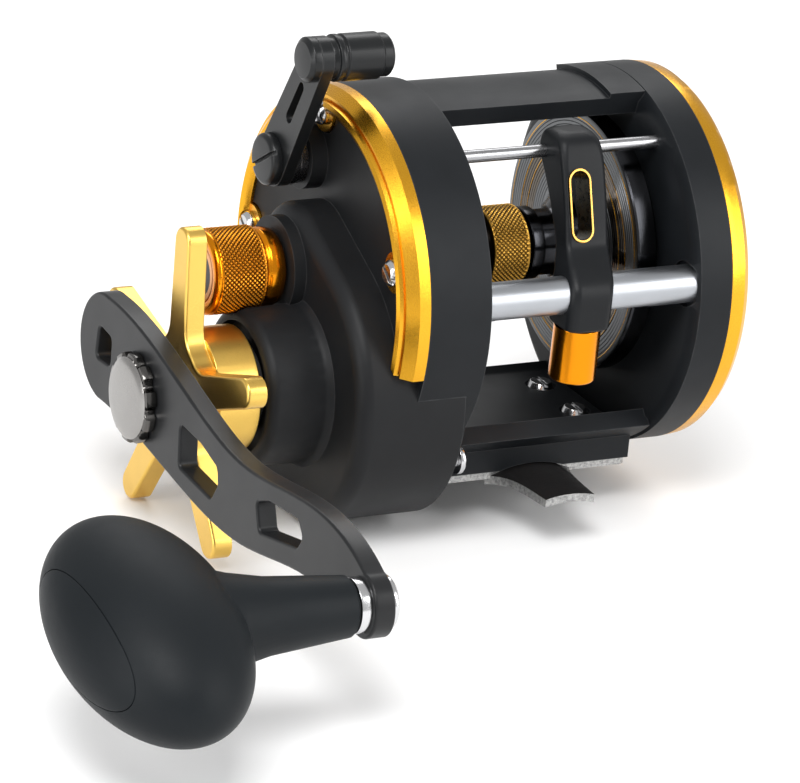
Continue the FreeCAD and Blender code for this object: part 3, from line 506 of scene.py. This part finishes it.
def build_cast_knob():
    """Cast control knob with its knurled band, and the ringed badge in its end."""
    band = (-65.5, -56.5)
    profile = [(-51.9, 6.4), (-51.9, 6.9), (-52.3, 7.35), (-53.2, 7.6), (-54.7, 7.62),
               (-55.2, 7.45), (-55.4, 7.2), (-55.7, 7.2), (-55.9, 7.7), (-56.3, 8.12)]
    profile += [(x, 8.25) for x in steps(band[1], band[0], 84)]
    profile += [(-65.7, 8.1), (-65.9, 8.2), (-66.5, 8.05), (-66.85, 7.6), (-66.9, 7.2),
                (-66.9, 6.2), (-66.7, 5.85), (-66.2, 5.7)]

    def look_of(a, b):
        return 1 if band[0] - 0.1 < (a[0] + b[0]) / 2 < band[1] + 0.1 else 0
    verts, faces = lathe(profile, SPOOL, 432,
                         knurl(*band, around=54, pitch=KNURL_PITCH, depth=0.34), look_of)
    piece("cast_knob_knurled", verts, faces, ["amber", "amber_knurl"], "cast_knob",
          ["cast_control_knob"], sharp=KNURL_SHARP)

    ring_inside = 4.55
    badge = [(-66.3, 5.66), (-66.62, 5.62), (-66.7, 5.5), (-66.7, 4.6), (-66.62, 4.5),
             (-66.62, 0.4)]
    verts, faces = lathe(badge, SPOOL, 96, None,
                         lambda a, b: 1 if max(a[1], b[1]) < ring_inside else 0)
    piece("cast_knob_face", verts, faces, ["copper", "badge"], "cast_knob",
          ["cast_knob_badge"])


def build_sleeve():
    """Knurled sleeve round the middle of the spool's arbor."""
    band = (-7.55, -0.15)
    profile = [(-7.9, 6.45), (-7.9, 7.6), (-7.7, 7.85)]
    profile += [(x, 7.96) for x in steps(*band, 68)]
    profile += [(0.0, 7.85), (0.2, 7.6), (0.2, 6.45)]
    verts, faces = lathe(profile, SPOOL, 416,
                         knurl(*band, around=52, pitch=KNURL_PITCH, depth=0.30), closed=True)
    piece("spool_sleeve_knurled", verts, faces, ["sleeve"], "spool",
          ["spool_sleeve"], sharp=KNURL_SHARP)


def ring_grooves(x, inward, radii, width, depth):
    """Profile points of fine turned grooves in a flange face."""
    points = []
    for r in radii:
        points += [(x, r - width), (x + inward * depth, r), (x, r + width)]
    return points


def build_spool():
    """Spool turned in one closed profile: handle-side flange, arbor, tail-side flange."""
    radii = [13.0 + 0.72 * k for k in range(16)]
    near = [(-25.9, 2.1), (-25.9, 8.0), (-24.5, 22.6), (-25.9, 23.4), (-25.9, 25.35),
            (-25.6, 25.65), (-22.1, 25.65), (-21.75, 25.4), (-21.6, 25.0)]
    near += ring_grooves(-21.6, -1, radii[::-1], -0.09, 0.14)
    near += [(-21.6, 12.0), (-20.2, 10.0), (-18.4, 8.6), (-16.9, 7.0), (-15.6, 6.45),
             (-11.9, 6.4), (-11.7, 7.1), (-11.5, 7.25), (-9.5, 7.25), (-9.2, 7.1), (-9.0, 6.4)]
    far = [(1.0, 6.4), (1.2, 7.1), (1.4, 7.25), (3.4, 7.25), (3.7, 7.1), (3.9, 6.4), (7.4, 6.45),
           (8.7, 7.0), (10.2, 8.6), (12.0, 10.0), (13.4, 12.0)]
    far += ring_grooves(13.4, 1, radii, 0.09, 0.14)
    far += [(13.4, 25.0), (13.55, 25.4), (13.9, 25.65), (17.4, 25.65), (17.7, 25.35), (17.7, 23.4),
            (16.3, 22.6), (17.7, 8.0), (21.0, 7.2), (21.0, 2.1)]

    def look_of(a, b):
        x, r = (a[0] + b[0]) / 2, (a[1] + b[1]) / 2
        arbor, rim = -20.5 < x < 12.3, r > 25.2
        if arbor or rim:
            return 1
        mirror_band = 13.3 < x < 13.6 and 16.2 < r < 21.0
        return 2 if mirror_band else 0
    verts, faces = lathe(near + far, SPOOL, 192, None, look_of, closed=True)
    piece("spool_turned", verts, faces, ["spool", "arbor", "mirror"], "spool",
          ["spool"])
    for index, r in enumerate((18.3, 20.7, 24.3)):
        ring = [(13.5, r - 0.11), (13.36, r - 0.08), (13.33, r), (13.36, r + 0.08),
                (13.5, r + 0.11)]
        verts, faces = lathe(ring, SPOOL, 160, closed=True)
        piece("spool_gold_line_%d" % index, verts, faces, ["gold"], "spool",
              ["spool"])


def build_nut():
    """Handle nut with a fluted rim painted dark as shade and a domed bright face."""
    flutes, flute_depth, rim_radius, face_x = 10, 1.15, 7.9, -84.05
    profile = [(-81.82, 3.6), (-81.82, 8.3), (-82.0, 8.6), (-83.4, 8.65), (-83.9, 8.4),
               (-84.0, 8.0), (-84.1, 7.75), (-84.5, 7.3), (-84.8, 6.2), (-85.0, 4.4),
               (-85.12, 2.2), (-85.15, 0.3)]

    def shape(x, r, t):
        if r < rim_radius:
            return r
        return r - flute_depth * max(0.0, math.cos(flutes * t)) ** 0.8
    verts, faces = lathe(profile, CRANK, 240, shape,
                         lambda a, b: 1 if max(a[0], b[0]) < face_x else 0)
    # The fluted rim takes the darker copy as painted shade, and the face takes the silver.
    piece("handle_nut_fluted", verts, faces, ["nut_flute_shade", "silver"], "crank",
          ["handle_nut"], sharp=30.0)


def build_worm():
    """Level-wind worm: crossed left and right grooves between plain journals."""
    lead, groove_depth, half_groove, wall = 5.4, 0.7, 0.75, 0.2
    journal, groove_start, groove_end = 2.3, -22.0, 16.0
    profile = [(-32.8, 1.2), (-32.6, 1.5), (-25.8, 1.5), (-25.6, 2.2)]
    profile += [(x, 2.4) for x in steps(-25.4, 19.2, 300)]
    profile += [(19.4, 2.2), (19.6, 1.5), (21.5, 1.5), (21.7, 1.2)]

    def shape(x, r, t):
        if not groove_start < x < groove_end or r < journal:
            return r
        depth = 0.0
        for turn in (t / TAU + x / lead, -t / TAU + x / lead):
            away = abs((turn % 1.0) - 0.5) * lead
            depth = max(depth, min(1.0, (half_groove - away) / wall))
        return r - groove_depth * max(0.0, depth)
    verts, faces = lathe(profile, WORM, 72, shape)
    piece("worm_grooved", verts, faces, ["steel"], "worm", ["worm_shaft"])


# Line guide, bottom to top: z, front y, back y, middle x, half width, corner radius.
GUIDE_SECTIONS = [(-1.2, -36.2, -28.2, -2.8, 3.7, 2.4), (-0.9, -36.9, -27.5, -2.8, 4.4, 2.2),
                  (0.2, -37.15, -27.25, -2.8, 4.65, 2.0), (4.5, -37.2, -27.2, -2.75, 4.7, 2.0),
                  (7.6, -36.4, -27.0, -2.4, 4.7, 1.9), (10.2, -33.8, -26.0, -1.7, 4.65, 1.7),
                  (12.0, -31.1, -25.0, -1.1, 4.6, 1.3), (13.6, -29.4, -24.2, -0.7, 4.6, 1.1),
                  (16.0, -28.4, -22.4, -0.5, 4.6, 1.1), (20.0, -27.0, -19.7, -0.3, 4.6, 1.1),
                  (24.0, -25.65, -17.0, -0.3, 4.6, 1.1), (28.0, -24.2, -14.0, -0.3, 4.6, 1.2),
                  (30.6, -23.0, -13.6, -0.3, 4.5, 1.5),
                  (32.0, -21.9, -14.2, -0.3, 4.2, 1.9), (32.7, -20.6, -15.4, -0.3, 3.4, 2.0),
                  (32.95, -19.6, -16.4, -0.3, 2.2, 1.4)]


def smooth_rows(rows, count):
    """Rows between given rows along a smooth curve through them all."""
    out = []
    for i in range(len(rows) - 1):
        p0, p1 = rows[max(i - 1, 0)], rows[i]
        p2, p3 = rows[i + 1], rows[min(i + 2, len(rows) - 1)]
        for k in range(count):
            t = k / count
            out.append(tuple(0.5 * (2 * b + (c - a) * t + (2 * a - 5 * b + 4 * c - d) * t * t
                                    + (3 * b - a - 3 * c + d) * t ** 3)
                             for a, b, c, d in zip(p0, p1, p2, p3)))
    return out + [rows[-1]]


def round_slot(width, height, depth0, depth1):
    """Closed prism with a round-ended outline, square to the line guide's front face."""
    low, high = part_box("line_eyelet")
    middle = ((low + high) / 2 - HUB) / MM
    lean = math.radians(GUIDE_LEAN)
    count = 12
    ring = []
    for end, start in ((1, 0.0), (-1, math.pi)):
        for k in range(count + 1):
            t = start + math.pi * k / count
            ring.append((width / 2 * math.cos(t),
                         end * (height - width) / 2 + width / 2 * math.sin(t)))
    verts = []
    for depth in (depth0, depth1):
        for x, z in ring:
            verts.append((middle.x + x, middle.y + depth * math.cos(lean) + z * math.sin(lean),
                          middle.z - depth * math.sin(lean) + z * math.cos(lean)))
    n = len(ring)
    faces = [tuple(range(n - 1, -1, -1)), tuple(range(n, 2 * n))]
    faces += [(k, (k + 1) % n, n + (k + 1) % n, n + k) for k in range(n)]
    return verts, faces


def carve(ob, verts, faces):
    """Take a closed shape out of a piece's mesh for good."""
    me = bpy.data.meshes.new("cutter")
    me.from_pydata([place(*v) for v in verts], [], faces)
    face_outward(me)
    cutter = bpy.data.objects.new("cutter", me)
    bpy.context.scene.collection.objects.link(cutter)
    mod = ob.modifiers.new("carve", "BOOLEAN")
    mod.operation = "DIFFERENCE"
    mod.object = cutter
    bpy.context.view_layer.update()
    graph = bpy.context.evaluated_depsgraph_get()
    done = bpy.data.meshes.new_from_object(ob.evaluated_get(graph))
    ob.modifiers.remove(mod)
    ob.data = done
    bpy.data.objects.remove(cutter)
    bpy.data.meshes.remove(me)


def build_carriage():
    """Line guide lofted through its sections, with the slot for the eyelet cut through it."""
    corner, between = 7, 5  # points round each corner, rows between sections
    slot_width, slot_height, slot_front, slot_back = 4.82, 14.02, -8.0, 14.0
    verts, faces = [], []
    rows = smooth_rows(GUIDE_SECTIONS, between)
    for z, front, back, mid, half, r in rows:
        for cx, cy, start in ((mid + half - r, back - r, 0), (mid - half + r, back - r, 1),
                              (mid - half + r, front + r, 2), (mid + half - r, front + r, 3)):
            for k in range(corner):
                t = (start + k / (corner - 1)) * math.pi / 2
                verts.append((cx + r * math.cos(t), cy + r * math.sin(t), z))
    n = 4 * corner
    for i in range(len(rows) - 1):
        for k in range(n):
            m = (k + 1) % n
            faces.append(((i * n + k, i * n + m, (i + 1) * n + m, (i + 1) * n + k), 0))
    for i in (0, len(rows) - 1):
        faces.append((tuple(range(i * n, (i + 1) * n)), 0))
    me = bpy.data.meshes.new("line_guide_body")
    me.from_pydata([place(*v) for v in verts], [], [f for f, _ in faces])
    face_outward(me)
    me.materials.append(M["guide"])
    ob = bpy.data.objects.new("line_guide_body", me)
    bpy.context.scene.collection.objects.link(ob)
    carve(ob, *round_slot(slot_width, slot_height, slot_front, slot_back))
    for poly in ob.data.polygons:
        poly.use_smooth = True
    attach(ob, "line_guide")
    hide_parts("carriage")
    smooth_by_angle(ob, 34.0)


def build_springs():
    """The two yoke springs, a little shorter than the space they work in."""
    low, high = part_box("yoke_springs")
    low, high = (low - HUB) / MM, (high - HUB) / MM
    coil, wire, turns, around, sides, room = 1.1, 0.22, 4.5, 20, 6, 0.8
    x0, x1 = high.x - wire, low.x + room
    z = (low.z + high.z) / 2
    for index, y in enumerate((low.y + coil + wire, high.y - coil - wire)):
        verts, faces = [], []
        count = int(turns * around)
        for k in range(count + 1):
            a = TAU * k / around
            x = x0 + (x1 - x0) * k / count
            for m in range(sides):
                b = TAU * m / sides
                r = coil + wire * math.cos(b)
                verts.append((x + wire * math.sin(b), y + r * math.cos(a), z + r * math.sin(a)))
        for k in range(count):
            for m in range(sides):
                n = (m + 1) % sides
                faces.append(((k * sides + m, k * sides + n, (k + 1) * sides + n,
                               (k + 1) * sides + m), 0))
        faces.append((tuple(range(sides)), 0))
        faces.append((tuple(range(count * sides, (count + 1) * sides)), 0))
        piece("yoke_spring_%d" % index, verts, faces, ["steel"], "yoke", ["yoke_springs"])


def build_lever_screw():
    """Lever pivot screw: round-edged head with its slot rising towards the front."""
    profile = [(-42.0, 0.2), (-42.0, 0.9), (-42.1, 1.0), (-49.5, 1.0), (-49.5, 4.75),
               (-49.65, 4.95), (-49.8, 5.0), (-50.7, 5.0), (-51.15, 4.85), (-51.45, 4.5),
               (-51.6, 4.0), (-51.6, 0.3)]
    verts, faces = lathe(profile, LEVER, 96)
    ob = piece("lever_screw_slotted", verts, faces, ["lever"], "lever",
               ["lever_screw"])
    ob.modifiers.clear()
    half_length, half_width, bottom, clear = 6.0, 0.42, -50.6, -53.0
    rise = math.radians(33.0)
    along, across = (-math.cos(rise), math.sin(rise)), (math.sin(rise), math.cos(rise))
    corners = ((-half_length, -half_width), (half_length, -half_width),
               (half_length, half_width), (-half_length, half_width))
    verts = [(x, LEVER[0] + a * along[0] + b * across[0], LEVER[1] + a * along[1] + b * across[1])
             for x in (clear, bottom) for a, b in corners]
    carve(ob, verts, [(0, 1, 2, 3), (7, 6, 5, 4), (0, 4, 5, 1), (1, 5, 6, 2), (2, 6, 7, 3),
                      (3, 7, 4, 0)])
    for poly in ob.data.polygons:
        poly.use_smooth = True
    smooth_by_angle(ob, SHARP_ANGLE)


build_carriage()
build_springs()
build_lever_screw()
build_cast_knob()
build_sleeve()
build_spool()
build_nut()
build_worm()


# ---- stage, lights and camera -----------------------------------------------------------
def build_stage():
    """Flat pale floor under the reel, open on every side so that any view sees the part."""
    low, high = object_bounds()
    middle = (low + high) / 2
    half, gap = 6.0, 0.0005
    floor_z = low.z - gap
    verts = [(middle.x + x, middle.y + y, floor_z)
             for x, y in ((-half, -half), (half, -half), (half, half), (-half, half))]
    me = bpy.data.meshes.new("floor")
    me.from_pydata(verts, [], [(0, 1, 2, 3)])
    ob = bpy.data.objects.new("floor", me)
    bpy.context.scene.collection.objects.link(ob)
    s = Shader("floor_white", Roughness=0.9, Base_Color=(0.95, 0.95, 0.95, 1.0))
    me.materials.append(s.mat)


def area_light(name, at, aim, size, power):
    """White rectangular light turned to face a point."""
    data = bpy.data.lights.new(name, "AREA")
    data.shape = "RECTANGLE"
    data.size, data.size_y = size
    data.energy = power
    ob = bpy.data.objects.new(name, data)
    ob.location = at
    ob.rotation_mode = "QUATERNION"
    ob.rotation_quaternion = (Vector(at) - Vector(aim)).to_track_quat("Z", "Y")
    bpy.context.scene.collection.objects.link(ob)


def build_lights():
    """Even white surroundings and four soft lights."""
    world = bpy.data.worlds.new("studio")
    world.use_nodes = True
    background = world.node_tree.nodes["Background"]
    background.inputs["Color"].default_value = (1, 1, 1, 1)
    background.inputs["Strength"].default_value = 0.62
    bpy.context.scene.world = world
    bpy.context.scene.view_settings.view_transform = "Standard"
    aim = (HUB.x - 0.03, 0.0, HUB.z)
    area_light("key", (-0.45, -0.55, 0.95), aim, (0.5, 0.5), 9.0)
    area_light("fill_left", (-1.1, -0.35, 0.35), aim, (0.35, 0.9), 5.0)
    area_light("fill_right", (0.7, -0.9, 0.5), aim, (0.35, 0.9), 6.5)
    area_light("rim", (0.35, 0.7, 0.8), aim, (0.6, 0.4), 2.8)


def build_camera():
    """Camera fitted to the photograph, with its right, up and back directions."""
    data = bpy.data.cameras.new("camera")
    data.sensor_width = 36.0
    data.sensor_fit = "HORIZONTAL"
    data.lens = 242.885
    data.clip_start, data.clip_end = 0.05, 20.0
    ob = bpy.data.objects.new("camera", data)
    right = Vector((0.885718, -0.455646, 0.088830))
    up = Vector((0.091382, 0.358740, 0.928954))
    back = Vector((-0.455141, -0.814673, 0.359380))
    turn = Matrix((right, up, back)).transposed().to_4x4()
    ob.matrix_world = Matrix.Translation((-0.493494, -0.849328, 0.385986)) @ turn
    bpy.context.scene.collection.objects.link(ob)
    bpy.context.scene.camera = ob


build_stage()
build_lights()
build_camera()
